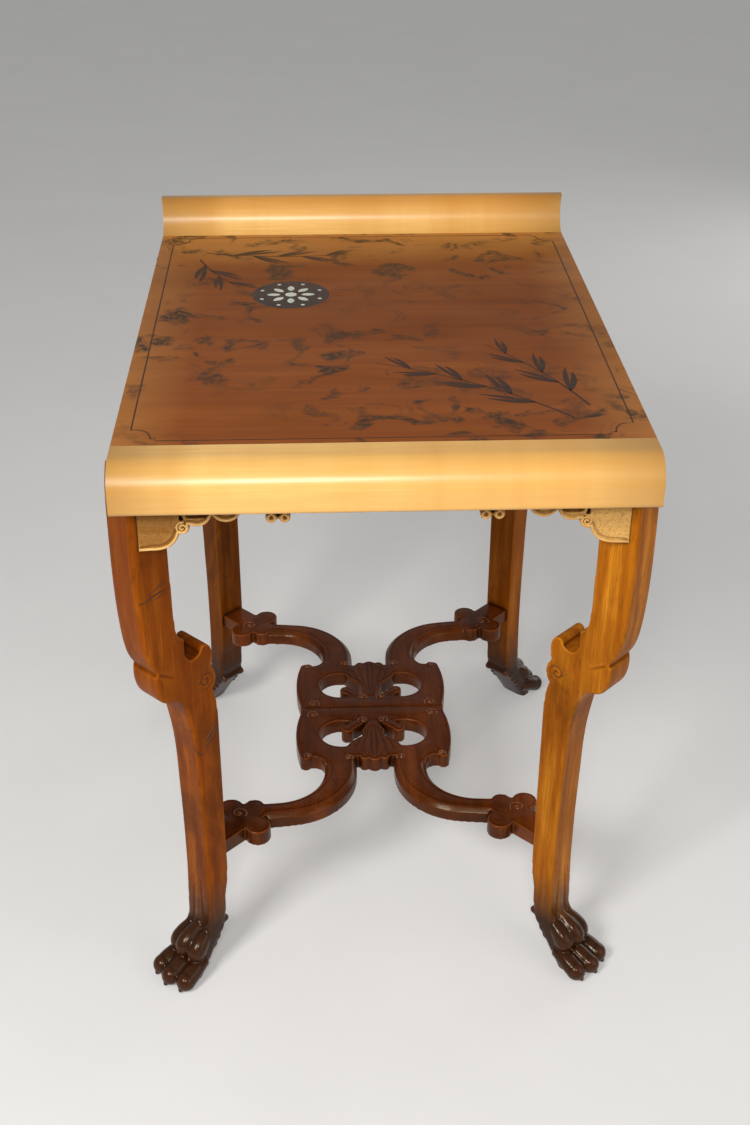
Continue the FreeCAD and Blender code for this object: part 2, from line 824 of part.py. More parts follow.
def inlay_plate():
    """Dark round ground of the inlay."""
    return upright_disc(inlay_radius, inlay_x, inlay_y, top_height - inlay_depth, inlay_depth)


# Build every piece, cutting each joint with the piece that fills it
front_tongue = tongue_at(front_seam)
rear_tongue = tongue_at(rear_seam)
pearls = pearl_pieces()
block_pairs = glue_blocks_and_screws()
screws = [screw for block, screw in block_pairs]
front_dowels = front_apron_dowels()
left_dowels = left_apron_dowels()
apron_dowels = front_dowels + [mirrored_y(peg) for peg in front_dowels]
apron_dowels += left_dowels + [mirrored_x(peg) for peg in left_dowels]
leg_pegs = leg_dowels()
middle_pegs = middle_dowels()

panel = cut_all(flat_panel(), [front_tongue, rear_tongue, inlay_plate()] + screws)
front_apron = kept_solid(cut_all(front_apron_blank(), front_dowels))
left_apron = kept_solid(cut_all(left_apron_blank(), left_dowels))
stretcher_half = kept_solid(cut_all(stretcher_front_blank(), middle_pegs + leg_pegs[:2]))
leg = kept_solid(cut_all(placed_leg(leg_blank(), 1, -1), apron_dowels + leg_pegs))

nodes = {
    "top_panel": kept_solid(panel),
    "front_roll": kept_solid(front_roll_blank().cut(front_tongue)),
    "rear_roll": kept_solid(rear_roll_blank().cut(rear_tongue)),
    "front_tongue": front_tongue,
    "rear_tongue": rear_tongue,
    "front_right_leg": leg,
    "front_left_leg": mirrored_x(leg),
    "rear_right_leg": mirrored_y(leg),
    "rear_left_leg": mirrored_x(mirrored_y(leg)),
    "front_apron": front_apron,
    "rear_apron": mirrored_y(front_apron),
    "left_apron": left_apron,
    "right_apron": mirrored_x(left_apron),
    "stretcher_front_half": stretcher_half,
    "stretcher_rear_half": mirrored_y(stretcher_half),
    "stretcher_middle_dowels": Part.makeCompound(middle_pegs),
    "stretcher_leg_dowels": Part.makeCompound(leg_pegs),
    "apron_dowels": Part.makeCompound(apron_dowels),
    "glue_blocks": Part.makeCompound([kept_solid(block) for block, screw in block_pairs]),
    "top_screws": Part.makeCompound(screws),
    "inlay_ground": kept_solid(cut_all(inlay_plate(), pearls)),
    "inlay_pearls": Part.makeCompound(pearls),
}

os.makedirs("parts", exist_ok=True)
for name, shape in nodes.items():
    shape.exportStep("parts/" + name + ".step")
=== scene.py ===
"""Looks of the tea table.

Carved legs, aprons and stretcher over the CAD frame, wood finishes, floor, light and camera.
"""
import math

import bmesh
import bpy
from mathutils import Matrix, Vector
from mathutils.kdtree import KDTree


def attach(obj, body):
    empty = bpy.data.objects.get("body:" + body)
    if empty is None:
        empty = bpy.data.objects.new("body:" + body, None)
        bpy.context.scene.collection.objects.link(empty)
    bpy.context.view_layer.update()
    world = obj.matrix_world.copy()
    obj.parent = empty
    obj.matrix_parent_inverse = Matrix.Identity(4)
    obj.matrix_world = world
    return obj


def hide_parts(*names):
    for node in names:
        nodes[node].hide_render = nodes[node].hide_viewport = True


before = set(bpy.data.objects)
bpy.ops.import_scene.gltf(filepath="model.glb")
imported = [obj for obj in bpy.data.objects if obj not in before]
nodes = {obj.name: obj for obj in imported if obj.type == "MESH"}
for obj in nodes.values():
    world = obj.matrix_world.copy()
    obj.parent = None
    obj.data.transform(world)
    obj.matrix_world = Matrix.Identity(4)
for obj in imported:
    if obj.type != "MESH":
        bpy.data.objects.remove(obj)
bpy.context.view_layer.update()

mm = 0.001


# Sizes of the table, in metres

def furthest(node, axis):
    """How far a node of the frame reaches along x, y or z."""
    thing = nodes[node]
    return max(getattr(thing.matrix_world @ vertex.co, axis) for vertex in thing.data.vertices)


half_width = furthest("top_panel", "x")
rear_seam = furthest("top_panel", "y")
top_height = furthest("top_panel", "z")
apron_top = furthest("front_apron", "z")
stretcher_top = furthest("stretcher_front_half", "z")
leg_corner_x = 269 * mm
leg_corner_y = 322 * mm
leg_half_thickness = 21 * mm

# Fineness of the carved meshes, and the share of its faces that each one keeps
leg_voxel = 1.3 * mm
apron_voxel = 1.1 * mm
stretcher_voxel = 1.2 * mm
leg_keep = 0.3
apron_keep = 0.2
stretcher_keep = 0.25
weld_distance = 0.01 * mm
line_step = 0.5 * mm


# Shader tools

def linear(value):
    """One channel of a screen colour, 0 to 255, in linear light."""
    share = value / 255
    if share <= 0.04045:
        return share / 12.92
    return ((share + 0.055) / 1.055) ** 2.4


def tone(red, green, blue):
    """A colour as it shows on a screen, 0 to 255, in the linear values that a shader takes."""
    return (linear(red), linear(green), linear(blue), 1)


def tinted(colour, shares):
    return tuple(value * share for value, share in zip(colour, shares)) + (1,)


def darker(colour, share):
    return tinted(colour, (share, share, share))


class Shader:
    """A tree of shader nodes, put together one node at a time."""

    def __init__(self, tree):
        self.tree = tree

    def give(self, value, socket):
        """Links a socket to another one, or sets it to a number or a colour."""
        if isinstance(value, bpy.types.NodeSocket):
            self.tree.links.new(value, socket)
        else:
            socket.default_value = value

    def add(self, kind, inputs=None, **settings):
        made = self.tree.nodes.new(kind)
        for name, value in settings.items():
            setattr(made, name, value)
        for name, value in (inputs or {}).items():
            self.give(value, made.inputs[name])
        return made

    def math(self, operation, first, second=0):
        made = self.add("ShaderNodeMath", operation=operation)
        self.give(first, made.inputs[0])
        self.give(second, made.inputs[1])
        return made.outputs["Value"]

    def span(self, value, band, shares=(0, 1)):
        """Goes from the first share to the second while a value goes through a band."""
        inputs = {"Value": value, "From Min": band[0], "From Max": band[1]}
        inputs.update({"To Min": shares[0], "To Max": shares[1]})
        return self.add("ShaderNodeMapRange", inputs).outputs["Result"]

    def shown(self):
        """1 for what the camera sees, also in mirrors or through glass, and 0 for light on things."""
        path = self.add("ShaderNodeLightPath").outputs
        seen = self.math("MAXIMUM", path["Is Camera Ray"], path["Is Glossy Ray"])
        return self.math("MAXIMUM", seen, path["Is Transmission Ray"])


class Finish(Shader):
    """A procedural material; the scales of its patterns are per metre."""

    def __init__(self, name):
        self.material = bpy.data.materials.new(name)
        self.material.use_nodes = True
        super().__init__(self.material.node_tree)
        self.surface = self.tree.nodes["Principled BSDF"]
        self.place = self.add("ShaderNodeTexCoord").outputs["Object"]

    def cover(self, values):
        """Gives inputs of the surface their numbers, colours or sockets."""
        for name, value in values.items():
            self.give(value, self.surface.inputs[name])

    def along(self, axis):
        return self.add("ShaderNodeSeparateXYZ", {"Vector": self.place}).outputs[axis]

    def scaled(self, scale):
        return self.add("ShaderNodeMapping", {"Vector": self.place, "Scale": scale}).outputs["Vector"]

    def noise(self, place, scale, detail, roughness, distortion=0):
        inputs = {"Vector": place, "Scale": scale, "Detail": detail}
        inputs.update({"Roughness": roughness, "Distortion": distortion})
        return self.add("ShaderNodeTexNoise", inputs).outputs["Fac"]

    def ramp(self, factor, positions, colours):
        made = self.add("ShaderNodeValToRGB", {"Fac": factor})
        band = made.color_ramp
        while len(band.elements) < len(positions):
            band.elements.new(0.5)
        for element, position, colour in zip(band.elements, positions, colours):
            element.position = position
            element.color = colour
        return made.outputs["Color"]

    def mix(self, factor, first, second):
        made = self.add("ShaderNodeMix", data_type="RGBA")
        self.give(factor, made.inputs[0])
        self.give(first, made.inputs[6])
        self.give(second, made.inputs[7])
        return made.outputs[2]

    def bumped(self, height, strength, distance):
        inputs = {"Height": height, "Strength": strength, "Distance": distance}
        self.cover({"Normal": self.add("ShaderNodeBump", inputs).outputs["Normal"]})


# Where a layer of colour starts and where it is full, in the values of the pattern that it follows
fibre_band = (0.62, 0.35)
cloud_band = (0.6, 0.3)
figure_band = (0.42, 0.62)
smudge_band = (0.53, 0.72)
speck_band = (0.56, 0.7)
peck_band = (0.52, 0.66)
stain_band = (0.53, 0.62)
stain_grain_band = (0.36, 0.56)
stain_field_band = (0.36, 0.53)
worn_edge_band = (0.51, 0.58)
corner_shade_band = (0.49, 0.43)
paw_wear_and_highlight_band = (0.506, 0.59)
hollow_shade_band = (0.9, 0.35)
gloss_band = (0.3, 0.7)
wood_stops = (0.2, 0.5, 0.8)
paint_stops = (0.35, 0.65)

# Where the finishes change along the table, in metres
end_band = 70 * mm
end_overrun = 25 * mm
end_waver = 40 * mm
rear_sheen_band = 130 * mm
light_slope_from = 100 * mm
light_slope_to = 215 * mm
cap_from = 510 * mm
cap_to = 620 * mm
paw_dark_from = 165 * mm
paw_dark_to = 95 * mm
paw_waver = 60 * mm
hollow_reach = 9 * mm
wood_relief_depth = 0.4 * mm
paint_relief_depth = 0.2 * mm

# Shares of colour, relief and varnish
fibre_tone = 0.4
side_fade = 0.4
rear_sheen_share = 0.75
least_fade = 0.6
peck_tone = 0.6
least_stain = 0.3
end_darkening = 0.62
soot_darkening = 0.3
hollow_shade_darkening = 0.2
fibre_relief = 0.12
peck_relief = 0.2
paint_relief = 0.08
paw_gloss = 0.14
paw_coat = 0.24
amber_varnish = (1, 0.64, 0.32, 1)
clear_varnish = (1, 0.95, 0.86, 1)

# How much longer than wide the streaks and fibres of a wood are, and how stains are stretched
streak_length = 14
fibre_length = 40
stain_stretch = (0.9, 1, 1)


class Wood(Finish):
    """Varnished wood with its grain along one axis, built up one layer of colour at a time."""

    def __init__(self, name, tones, axis, streak=38, fibre=650, shade=0.45):
        super().__init__(name)
        self.axis = axis
        self.dark = tones[0]
        self.light = tones[-1]
        streaks = self.grain(streak / streak_length, streak, 5, 0.6, 0.15)
        fibres = self.grain(fibre / fibre_length, fibre, 3, 0.6)
        self.cloud = self.grain(4, 9, 3, 0.55)
        self.colour = self.ramp(streaks, wood_stops, tones)
        self.lay(self.span(fibres, fibre_band, (0, fibre_tone)), self.dark)
        self.lay(self.span(self.cloud, cloud_band, (0, shade)), self.dark)
        self.relief = fibres
        self.relief_strength = fibre_relief
        self.paws = None

    def grain(self, along, across, detail, roughness, distortion=0):
        """Noise with one scale along the grain and another across it."""
        scale = tuple(along if name == self.axis else across for name in "xyz")
        return self.noise(self.scaled(scale), 1, detail, roughness, distortion)

    def edges(self):
        """Over a half on the edges of a mesh and under it in its corners."""
        return self.add("ShaderNodeNewGeometry").outputs["Pointiness"]

    def lay(self, share, colour):
        self.colour = self.mix(share, self.colour, colour)

    def figured(self, share):
        """Broad dark bands across the grain."""
        bands = self.grain(9, 0.6, 4, 0.6)
        self.lay(self.span(bands, figure_band, (0, share)), self.dark)

    def dark_ends(self, share):
        """Darker towards the left and right ends."""
        waver = self.math("MULTIPLY", self.cloud, end_waver)
        reach = self.math("ADD", self.math("ABSOLUTE", self.along("X")), waver)
        band = (half_width - end_band, half_width + end_overrun)
        self.lay(self.span(reach, band, (0, share)), darker(self.dark, end_darkening))

    def paler_sides_and_rear_sheen(self, colour):
        """Paler in patches towards the sides, and more so towards the rear seam, where the paleness is a
        painted sheen.
        """
        across = self.math("ABSOLUTE", self.along("X"))
        aside = self.span(across, (half_width - end_band, half_width), (0, side_fade))
        rear_sheen_mask = self.span(self.along("Y"), (rear_seam - rear_sheen_band, rear_seam), (0, rear_sheen_share))
        patches = self.span(self.cloud, cloud_band, (1, least_fade))
        self.lay(self.math("MULTIPLY", self.math("MAXIMUM", aside, rear_sheen_mask), patches), colour)

    def shaded_left_lit_right(self, share):
        """Darker to the left as painted shade and lighter to the right as painted light."""
        along = self.along("X")
        self.lay(self.span(along, (-light_slope_from, -light_slope_to), (0, share)), self.dark)
        self.lay(self.span(along, (light_slope_from, light_slope_to), (0, share)), self.light)

    def capped(self, share):
        """Darker towards the top of a leg."""
        self.lay(self.span(self.along("Z"), (cap_from, cap_to), (0, share)), self.dark)

    def grimy(self, share):
        """Smudges, and small specks half as dark."""
        smudges = self.grain(7, 13, 5, 0.62, 0.5)
        specks = self.grain(60, 420, 3, 0.6)
        soot = darker(self.dark, soot_darkening)
        self.lay(self.span(smudges, smudge_band, (0, share)), soot)
        self.lay(self.span(specks, speck_band, (0, share / 2)), soot)

    def pecked(self, share):
        """A ground pecked rough with a point."""
        field = self.noise(self.place, 420, 2, 0.6)
        self.lay(self.span(field, peck_band, (0, peck_tone * share)), self.dark)
        self.relief = self.math("ADD", self.relief, self.math("MULTIPLY", field, share))
        self.relief_strength += peck_relief * share

    def stained(self, colour):
        """Dark stains with uneven edges, in some fields and not in others."""
        patch = self.noise(self.scaled(stain_stretch), 22, 4, 0.55, 0.9)
        small = self.noise(self.place, 130, 4, 0.65)
        field = self.noise(self.place, 6, 2, 0.5)
        uneven = self.span(small, stain_grain_band, (least_stain, 1))
        spot = self.math("MULTIPLY", self.span(patch, stain_band), uneven)
        self.lay(self.math("MULTIPLY", spot, self.span(field, stain_field_band)), colour)

    def worn(self, share):
        """Lighter on worn edges, and darker in corners as painted shade."""
        edges = self.edges()
        self.lay(self.span(edges, worn_edge_band, (0, share)), self.light)
        self.lay(self.span(edges, corner_shade_band, (0, share)), self.dark)

    def dark_paws(self, ground, rubbed):
        """Another, glossier colour near the floor, lighter on its bulges as wear and as painted highlight.
        """
        height = self.math("ADD", self.along("Z"), self.math("MULTIPLY", self.cloud, paw_waver))
        self.paws = self.span(height, (paw_dark_from, paw_dark_to))
        self.lay(self.paws, self.mix(self.span(self.edges(), paw_wear_and_highlight_band), ground, rubbed))

    def shaded_in_hollows(self, share):
        """Painted shade: darker in the hollows that ambient occlusion finds."""
        hollow = self.add("ShaderNodeAmbientOcclusion", {"Distance": hollow_reach}, samples=6)
        black = darker(self.dark, hollow_shade_darkening)
        self.lay(self.span(hollow.outputs["AO"], hollow_shade_band, (0, share)), black)

    def varnished(self, roughness, coat=0.0, shine=0.2, polish=0.16, varnish=amber_varnish):
        """The material under its varnish; dark paws are smoother, and have a coat of their own."""
        gloss = self.span(self.cloud, gloss_band, (roughness + 0.08, roughness - 0.06))
        if self.paws is not None:
            gloss = self.math("SUBTRACT", gloss, self.math("MULTIPLY", self.paws, paw_gloss))
            coat = self.math("MULTIPLY", self.paws, paw_coat)
        self.cover({"Base Color": self.colour, "Roughness": gloss})
        self.cover({"Specular IOR Level": shine, "Specular Tint": varnish})
        self.cover({"Coat Weight": coat, "Coat Roughness": polish})
        self.bumped(self.relief, self.relief_strength, wood_relief_depth)
        return self.material


# Finishes of the table

def top_finish():
    tones = (tone(112, 54, 14), tone(140, 72, 20), tone(162, 90, 30))
    finish = Wood("top_wood", tones, "x", streak=24)
    # a paler finish towards the sides, and painted sheen towards the rear seam
    finish.paler_sides_and_rear_sheen(tone(206, 144, 74))
    finish.stained(tone(58, 42, 28))
    return finish.varnished(roughness=0.4, coat=0.05)


def roll_finish():
    tones = (tone(218, 160, 80), tone(236, 186, 106), tone(243, 200, 124))
    finish = Wood("roll_wood", tones, "x", streak=12, fibre=420, shade=0.3)
    finish.figured(0.75)
    finish.dark_ends(0.9)
    return finish.varnished(roughness=0.34, coat=0.55, shine=0.35, polish=0.26, varnish=clear_varnish)


def leg_finish(name, shares, cap):
    """Leg wood, lighter or darker from leg to leg, the rear left one darker as painted shade, with
    near-black paws.
    """
    plain_tones = (tone(100, 44, 2), tone(152, 82, 12), tone(194, 120, 32))
    tones = [tinted(colour, shares) for colour in plain_tones]
    finish = Wood("leg_wood_" + name, tones, "z", streak=70, shade=0.6)
    finish.capped(cap)
    finish.grimy(0.7)
    finish.worn(0.6)
    # the second tone lights the paws' bulges, as wear and as painted highlight
    finish.dark_paws(tone(48, 26, 13), tone(128, 64, 28))
    finish.shaded_in_hollows(0.9)
    return finish.varnished(roughness=0.42, shine=0.12, polish=0.1)


def apron_finish(name, axis, light_slope_share):
    tones = (tone(118, 72, 24), tone(188, 134, 62), tone(232, 184, 108))
    finish = Wood(name, tones, axis, streak=70)
    finish.shaded_left_lit_right(light_slope_share)
    finish.grimy(0.25)
    finish.pecked(0.8)
    finish.worn(0.6)
    finish.shaded_in_hollows(0.85)
    return finish.varnished(roughness=0.42, coat=0.08)


def stretcher_finish():
    tones = (tone(48, 19, 3), tone(92, 39, 7), tone(136, 66, 17))
    finish = Wood("stretcher_wood", tones, "y", streak=30, shade=0.8)
    finish.worn(0.9)
    finish.shaded_in_hollows(0.9)
    return finish.varnished(roughness=0.28, coat=0.14)


def rim_finish():
    tones = (tone(170, 116, 56), tone(212, 160, 88), tone(236, 192, 122))
    finish = Wood("rim_wood", tones, "x", streak=70)
    finish.worn(0.3)
    return finish.varnished(roughness=0.36, coat=0.3)


# Painted highlight: the raised scrolls are a lighter copy of the stretcher's wood, standing for their
# glints
def scroll_finish():
    tones = (tone(86, 42, 12), tone(112, 56, 18), tone(134, 74, 28))
    return Wood("scroll_wood", tones, "y", streak=40).varnished(roughness=0.2, coat=0.6)


def hidden_finish():
    tones = (tone(150, 116, 78), tone(178, 140, 96), tone(198, 160, 114))
    return Wood("hidden_wood", tones, "z").varnished(roughness=0.6)


def plain_paint(name, first, second, roughness, scale=160, metal=0.0):
    """A smooth material that varies softly between two colours."""
    finish = Finish(name)
    cloud = finish.noise(finish.place, scale, 4, 0.6)
    gloss = finish.span(cloud, gloss_band, (roughness - 0.05, roughness + 0.07))
    finish.cover({"Base Color": finish.ramp(cloud, paint_stops, (first, second))})
    finish.cover({"Roughness": gloss, "Metallic": metal})
    finish.bumped(cloud, paint_relief, paint_relief_depth)
    return finish.material


# Tint in red, green and blue of each leg, and how much its top darkens
leg_looks = {
    "front_left": ((1.0, 0.86, 0.66), 0.6),
    "front_right": ((1.46, 1.64, 1.4), 0.0),
    # painted shade: the rear left leg is tinted darker for the shade it stands in
    "rear_left": ((0.64, 0.6, 0.5), 0.2),
    "rear_right": ((1.2, 1.2, 1.2), 0.0),
}
top_wood = top_finish()
roll_wood = roll_finish()
leg_woods = {name: leg_finish(name, shares, cap) for name, (shares, cap) in leg_looks.items()}
# painted shade on the left and painted light on the right of the aprons
apron_wood = apron_finish("apron_wood", "x", 0.6)
side_apron_wood = apron_finish("side_apron_wood", "y", 0.3)
stretcher_wood = stretcher_finish()
rim_wood = rim_finish()
scroll_wood = scroll_finish()
hidden_wood = hidden_finish()
# Dark lines: the top's border and reeds and the worn marks on a leg, and painted shade in the legs' scroll
# grooves
line_dark = plain_paint("line_dark", tone(48, 26, 12), tone(66, 38, 20), 0.5)
inlay_dark = plain_paint("inlay_dark", tone(38, 24, 18), tone(54, 34, 24), 0.3)
pearl_shell = plain_paint("pearl_shell", tone(196, 206, 196), tone(236, 228, 204), 0.2, scale=70)
screw_steel = plain_paint("screw_steel", tone(160, 156, 148), tone(188, 184, 176), 0.35,
                          scale=400, metal=1.0)


# Objects and meshes

def added(name, data):
    """A new object in the scene."""
    thing = bpy.data.objects.new(name, data)
    bpy.context.scene.collection.objects.link(thing)
    return thing


def welded(node):
    """The node's mesh as an editable copy with shared corners."""
    work = bmesh.new()
    work.from_mesh(nodes[node].data)
    bmesh.ops.remove_doubles(work, verts=work.verts, dist=weld_distance)
    return work


def new_mesh(name, work):
    mesh = bpy.data.meshes.new(name)
    work.to_mesh(mesh)
    work.free()
    return mesh


def placed(name, mesh, material, slot, *replaced):
    """Adds a piece of the table with its finish, riding on the only body."""
    piece = added(name, mesh)
    mesh.materials.clear()
    mesh.materials.append(material)
    mesh.shade_smooth()
    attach(piece, "root")
    if replaced:
        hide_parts(*replaced)


def baked(thing):
    """The mesh of an object with its modifiers applied, in place of the object."""
    ready = thing.evaluated_get(bpy.context.evaluated_depsgraph_get())
    mesh = bpy.data.meshes.new_from_object(ready)
    spare = thing.data
    bpy.data.objects.remove(thing)
    bpy.data.meshes.remove(spare)
    return mesh


def skinned(name, work, voxel, rounds):
    """One closed skin over everything in the mesh, softened as by carving and wear."""
    rough = added(name + "_rough", new_mesh(name + "_rough", work))
    skin = rough.modifiers.new("skin", "REMESH")
    skin.mode = "VOXEL"
    skin.voxel_size = voxel
    soft = rough.modifiers.new("soft", "SMOOTH")
    soft.factor = 0.5
    soft.iterations = rounds
    return baked(rough)


def lightened(name, mesh, keep):
    """The same skin with a share of its faces."""
    fine = added(name + "_fine", mesh)
    light = fine.modifiers.new("light", "DECIMATE")
    light.ratio = keep
    mesh = baked(fine)
    mesh.name = name
    return mesh


def soften(mesh, band, rounds):
    """Rubs a skin smooth between two heights."""
    low, high = band
    work = bmesh.new()
    work.from_mesh(mesh)
    chosen = [vertex for vertex in work.verts if low < vertex.co.z < high]
    for _ in range(rounds):
        bmesh.ops.smooth_vert(work, verts=chosen, factor=0.5,
                              use_axis_x=True, use_axis_y=True, use_axis_z=True)
    work.to_mesh(mesh)
    work.free()


facing_share = 0.35


def engrave(mesh, lines, way, depth_share):
    """Cuts round grooves along lines of (x, y, z, radius) into the faces that look one way."""
    way = Vector(way)
    points = [point for line in lines for point in line]
    tree = KDTree(len(points))
    for index, point in enumerate(points):
        place = Vector(point[:3])
        tree.insert(place - way * place.dot(way), index)
    tree.balance()
    moves = []
    for vertex in mesh.vertices:
        if vertex.normal.dot(way) > facing_share:
            _, index, distance = tree.find(vertex.co - way * vertex.co.dot(way))
            radius = points[index][3]
            nearness = 1 - (distance / radius) ** 2
            if nearness > 0:
                depth = radius * depth_share * nearness * nearness
                moves.append((vertex.index, vertex.normal * -depth))
    for index, move in moves:
        mesh.vertices[index].co += move


# Lines and outlines

def in_metres(points):
    return [tuple(value * mm for value in point) for point in points]


def between(before, start, finish, after, share):
    """A value on the smooth curve from start to finish, with the values before and after them."""
    line = 2 * start + (finish - before) * share
    bend = (2 * before - 5 * start + 4 * finish - after) * share * share
    twist = (3 * start - before - 3 * finish + after) * share ** 3
    return 0.5 * (line + bend + twist)


def smooth_path(points, steps):
    """A smooth line through all of the given points; what each number of a point means is kept."""
    ends = [points[0]] + list(points) + [points[-1]]
    path = []
    for four in zip(ends, ends[1:], ends[2:], ends[3:]):
        for step in range(steps):
            path.append(tuple(between(*values, step / steps) for values in zip(*four)))
    path.append(tuple(points[-1]))
    return path


def groove(path, radius):
    """A line to engrave with one radius, with points at most a step apart."""
    points = [path[0]]
    for first, second in zip(path, path[1:]):
        count = max(1, math.ceil((second - first).length / line_step))
        points += [first.lerp(second, (i + 1) / count) for i in range(count)]
    return [(*point, radius) for point in points]


def add_tube(work, path, sides):
    """A closed tube along a path of (x, y, z, radius)."""
    places = [Vector(point[:3]) for point in path]
    rings = []
    across = None
    for i, point in enumerate(path):
        ahead = places[min(i + 1, len(places) - 1)] - places[max(i - 1, 0)]
        ahead.normalize()
        if across is None:
            across = ahead.orthogonal()
        across = (across - ahead * across.dot(ahead)).normalized()
        over = ahead.cross(across)
        ring = []
        for side in range(sides):
            turn = 2 * math.pi * side / sides
            outward = across * math.cos(turn) + over * math.sin(turn)
            ring.append(work.verts.new(places[i] + outward * point[3]))
        rings.append(ring)
    for first, second in zip(rings, rings[1:]):
        for side in range(sides):
            following = (side + 1) % sides
            work.faces.new((first[side], first[following], second[following], second[side]))
    work.faces.new(list(reversed(rings[0])))
    work.faces.new(rings[-1])


def add_ball(work, centre, radii, segments):
    place = Matrix.Translation(centre) @ Matrix.Diagonal((*radii, 1))
    bmesh.ops.create_uvsphere(work, u_segments=segments, v_segments=segments // 2, radius=1, matrix=place)


def spiral(inner, outer, turns, start, way):
    """Flat points of a spiral, from its eye outwards."""
    count = int(turns * 20)
    points = []
    for i in range(count + 1):
        share = i / count
        turn = start + way * 2 * math.pi * turns * share
        reach = inner + (outer - inner) * share
        points.append((reach * math.cos(turn), reach * math.sin(turn)))
    return points


flat_share = 0.999
level_slack = 0.5 * mm


def face_loops(node, way):
    """Outlines of the flat face of a node that lies furthest one way, each with the face on its left."""
    work = welded(node)
    work.normal_update()
    way = Vector(way)
    facing = [face for face in work.faces if face.normal.dot(way) > flat_share]
    reach = max(face.calc_center_median().dot(way) for face in facing)
    chosen = [face for face in facing if reach - face.calc_center_median().dot(way) < level_slack]
    inside = set(chosen)
    following = {}
    for face in chosen:
        for corner in face.loops:
            if sum(other in inside for other in corner.edge.link_faces) == 1:
                following[corner.vert.index] = corner.link_loop_next.vert.index
    work.verts.ensure_lookup_table()
    loops = []
    while following:
        first, spot = following.popitem()
        ring = [first]
        while spot != first and spot in following:
            ring.append(spot)
            spot = following.pop(spot)
        loops.append([work.verts[index].co.copy() for index in ring])
    work.free()
    return loops


def inset(ring, way, distance):
    """A closed outline moved towards the inside of its face."""
    way = Vector(way)
    moved = []
    for before, point, after in zip(ring[-1:] + ring[:-1], ring, ring[1:] + ring[:1]):
        ahead = ((point - before).normalized() + (after - point).normalized()).normalized()
        moved.append(point + way.cross(ahead) * distance)
    return moved


def runs(ring, keep):
    """The stretches of a closed outline whose points pass a test; one that passes all round gives none."""
    starts = [i for i in range(len(ring)) if keep(ring[i]) and not keep(ring[i - 1])]
    stretches = []
    for start in starts:
        stretch = []
        step = start
        while keep(ring[step % len(ring)]) and len(stretch) < len(ring):
            stretch.append(ring[step % len(ring)])
            step += 1
        if len(stretch) > 2:
            stretches.append(stretch)
    return stretches


# Legs, in a frame of their own: u inward from the corner, v across and z up

def leg_place(side, end):
    """Takes a leg's own frame to its corner of the table."""
    corner = Matrix.Translation((side * leg_corner_x, end * leg_corner_y, 0))
    return corner @ Matrix.Rotation(math.atan2(-end, -side), 4, "Z")


# The ankle and the pad under it: height, front, back and half width in millimetres, and roundness
pad_sections = (
    (112, 67.8, 96.2, 21, 0.22),
    (92, 67, 95.5, 21, 0.23),
    (79, 66.6, 95, 21, 0.25),
    (69, 65.5, 93, 21.2, 0.3),
    (58, 60, 88, 22, 0.36),
    (47, 52.5, 81, 23, 0.42),
    (36, 45, 74, 23.6, 0.46),
    (25, 38, 67, 24, 0.5),
    (10, 33, 57, 23, 0.55),
    (0, 31, 51, 22, 0.55),
)
pad_corners = 32

# Forms of the paw as u, v, z and radius in millimetres, drawn for the side where v is positive
knuckle = (
    (69.5, 12.5, 68, 4), (64.5, 13, 63.5, 6.2), (57.5, 13.8, 58.5, 8.6), (49.5, 14.6, 53, 10.6),
    (43, 15.2, 46.5, 11.8), (40.5, 15.4, 40.5, 10.8), (42.5, 15, 34.5, 6.5),
)
toe = ((50, 18, 23, 8.5), (37, 19.5, 20.5, 10.6), (26, 20.8, 16.5, 11.5), (18, 21.5, 12.4, 11.2))
claw = ((9.5, 21.5, 7.4, 4), (7.4, 21.6, 4.8, 3.1), (7.4, 21.7, 2.5, 1.9))
toe_tip = (17, 21.5, 12.5)
tip_radii = (12.4 * mm, 11.8 * mm, 12.4 * mm)
heel_lock = (
    (88, 18, 60, 3), (83.6, 18.8, 55, 3.8), (81, 19, 50.5, 2.6), (78, 19.2, 46, 3.6),
    (75, 19.5, 41.5, 2.4), (72, 19.8, 37, 3), (69, 20, 33, 1.4),
)
half_heel_roll = ((93, 20.8, 64, 2.6), (93, 19, 64, 5.2), (92.5, 15, 64, 5.6), (92, 11, 64.5, 5))

# Lanes of the three toes; those at the sides stand further back and their knuckles lower, in millimetres
lanes = (-1, 0, 1)
side_toe_back = 5
side_knuckle_fall = 4

# Height where the paw joins the CAD leg, and heights between which the skin is rubbed smooth
paw_joint = 105 * mm
ankle_band = (92 * mm, 118 * mm)
knuckle_band = (50 * mm, 78 * mm)

# Carved lines of a leg: places, radii of their cuts, and depths as shares of the radii
leg_eye_u = 84.5 * mm
leg_eye_z = 425 * mm
leg_eye_inner = 1.6 * mm
leg_eye_outer = 11.5 * mm
leg_eye_turns = 1.5
leg_eye_cut = 1.7 * mm
hip_u = 17.8 * mm
hip_z = 463 * mm
hip_cut = 3.4 * mm
hip_depth = 0.8
waist_u = 98 * mm
waist_z = 445 * mm
waist_cut = 8 * mm
waist_depth = 0.4
leg_line_depth = 0.75
half_thickness_steps = 20
hip_steps = 16

# Painted shade: dark lines laid in the bottoms of the legs' carved scroll grooves
groove_shade_sink = 0.95 * mm
groove_shade_radius = 0.55 * mm
mark_end_share = 0.25


